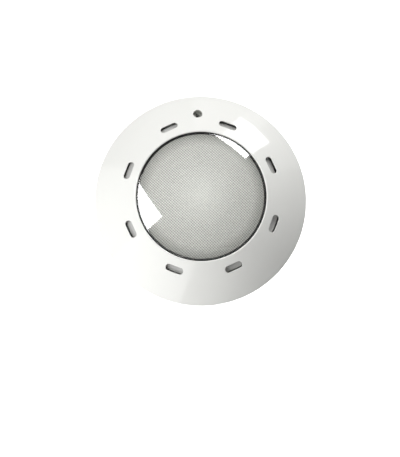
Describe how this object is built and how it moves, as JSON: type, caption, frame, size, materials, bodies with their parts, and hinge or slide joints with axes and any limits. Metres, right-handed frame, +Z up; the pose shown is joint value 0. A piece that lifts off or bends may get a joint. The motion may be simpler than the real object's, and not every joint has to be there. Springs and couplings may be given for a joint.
{
  "type": "underwater pool light",
  "caption": "Round underwater pool light: domed slotted face ring, clear domed lens and sealed LED lamp that tilts out of a ribbed wall niche.",
  "frame": {"origin": "middle of the niche's flat rear face, on the light's axis", "axes": "+Z up, +Y from the lens back through the niche into the wall, -Y out into the pool; the finished wall is at y = -0.095"},
  "size_m": [0.18, 0.1988, 0.18],
  "materials": {
    "white_abs": "gloss moulded ABS",
    "grey_abs": "satin moulded ABS",
    "niche_abs": "satin moulded ABS",
    "clear_polycarbonate": "clear, finely stippled inside",
    "black_rubber": "matt EPDM",
    "black_plastic": "satin nylon",
    "stainless_steel": "A4 stainless",
    "brass": "plain brass",
    "copper_winding": "enamelled copper",
    "cast_aluminium": "cast, bead blasted",
    "white_board": "white solder mask",
    "green_board": "green solder mask",
    "green_plastic": "moulded nylon",
    "led_phosphor": "phosphor under clear silicone",
    "nylon": "natural nylon",
    "red_wire": "PVC",
    "black_wire": "PVC",
    "brown_wire": "PVC",
    "blue_wire": "PVC"
  },
  "bodies": {
    "niche": {"niche_shell": "niche_abs", "wall_screw_1": "stainless_steel", "wall_screw_2": "stainless_steel", "wall_screw_3": "stainless_steel", "wall_screw_4": "stainless_steel", "pilot_insert": "brass", "conduit_gland_body": "black_plastic", "conduit_gland_seal": "black_rubber", "conduit_gland_nut": "black_plastic", "supply_cable": "black_rubber", "tail_core_brown": "brown_wire", "tail_core_blue": "blue_wire"},
    "light_unit": {"board_screw_1": "stainless_steel", "board_screw_2": "stainless_steel", "board_screw_3": "stainless_steel", "cable_entry": "black_rubber", "capacitor": "black_plastic", "clamp_ring": "white_abs", "clamp_screw_1": "stainless_steel", "clamp_screw_2": "stainless_steel", "clamp_screw_3": "stainless_steel", "clamp_screw_4": "stainless_steel", "clamp_screw_5": "stainless_steel", "clamp_screw_6": "stainless_steel", "clamp_screw_7": "stainless_steel", "clamp_screw_8": "stainless_steel", "core_blue": "blue_wire", "core_brown": "brown_wire", "driver_board": "green_board", "driver_spacer_1": "brass", "driver_spacer_2": "brass", "driver_spacer_3": "brass", "face_ring": "white_abs", "heat_sink": "cast_aluminium", "housing": "grey_abs", "inductor": "copper_winding", "lamp_gland_body": "black_plastic", "lamp_gland_nut": "black_plastic", "lamp_gland_seal": "black_rubber", "led_1": "led_phosphor", "led_2": "led_phosphor", "led_3": "led_phosphor", "led_4": "led_phosphor", "led_5": "led_phosphor", "led_6": "led_phosphor", "led_7": "led_phosphor", "led_8": "led_phosphor", "led_board": "white_board", "led_lead_black": "black_wire", "led_lead_red": "red_wire", "lens": "clear_polycarbonate", "lens_boot": "black_rubber", "lens_oring": "black_rubber", "rectifier": "black_plastic", "reflector": "white_abs", "terminal_block": "green_plastic"},
    "pilot_carrier": {"pilot_washer": "nylon"},
    "pilot_screw": {"pilot_screw": "stainless_steel"}
  },
  "joints": [
    {"name": "light_tilt", "type": "hinge", "parent": "niche", "child": "light_unit", "pos_m": [0, -0.09775, -0.078], "axis": [1, 0, 0], "range_deg": [0, 18]},
    {"name": "pilot_travel", "type": "slide", "parent": "light_unit", "child": "pilot_carrier", "axis": [0, -1, 0], "range_m": [0, 0.0093]},
    {"name": "pilot_turn", "type": "hinge", "parent": "pilot_carrier", "child": "pilot_screw", "pos_m": [0, -0.1045, 0.072], "axis": [0, -1, 0], "range_deg": [0, 4785]}
  ],
  "couplings": [
    {"joint": "pilot_turn", "follows": "pilot_travel", "rad_per_m": 8976}
  ]
}
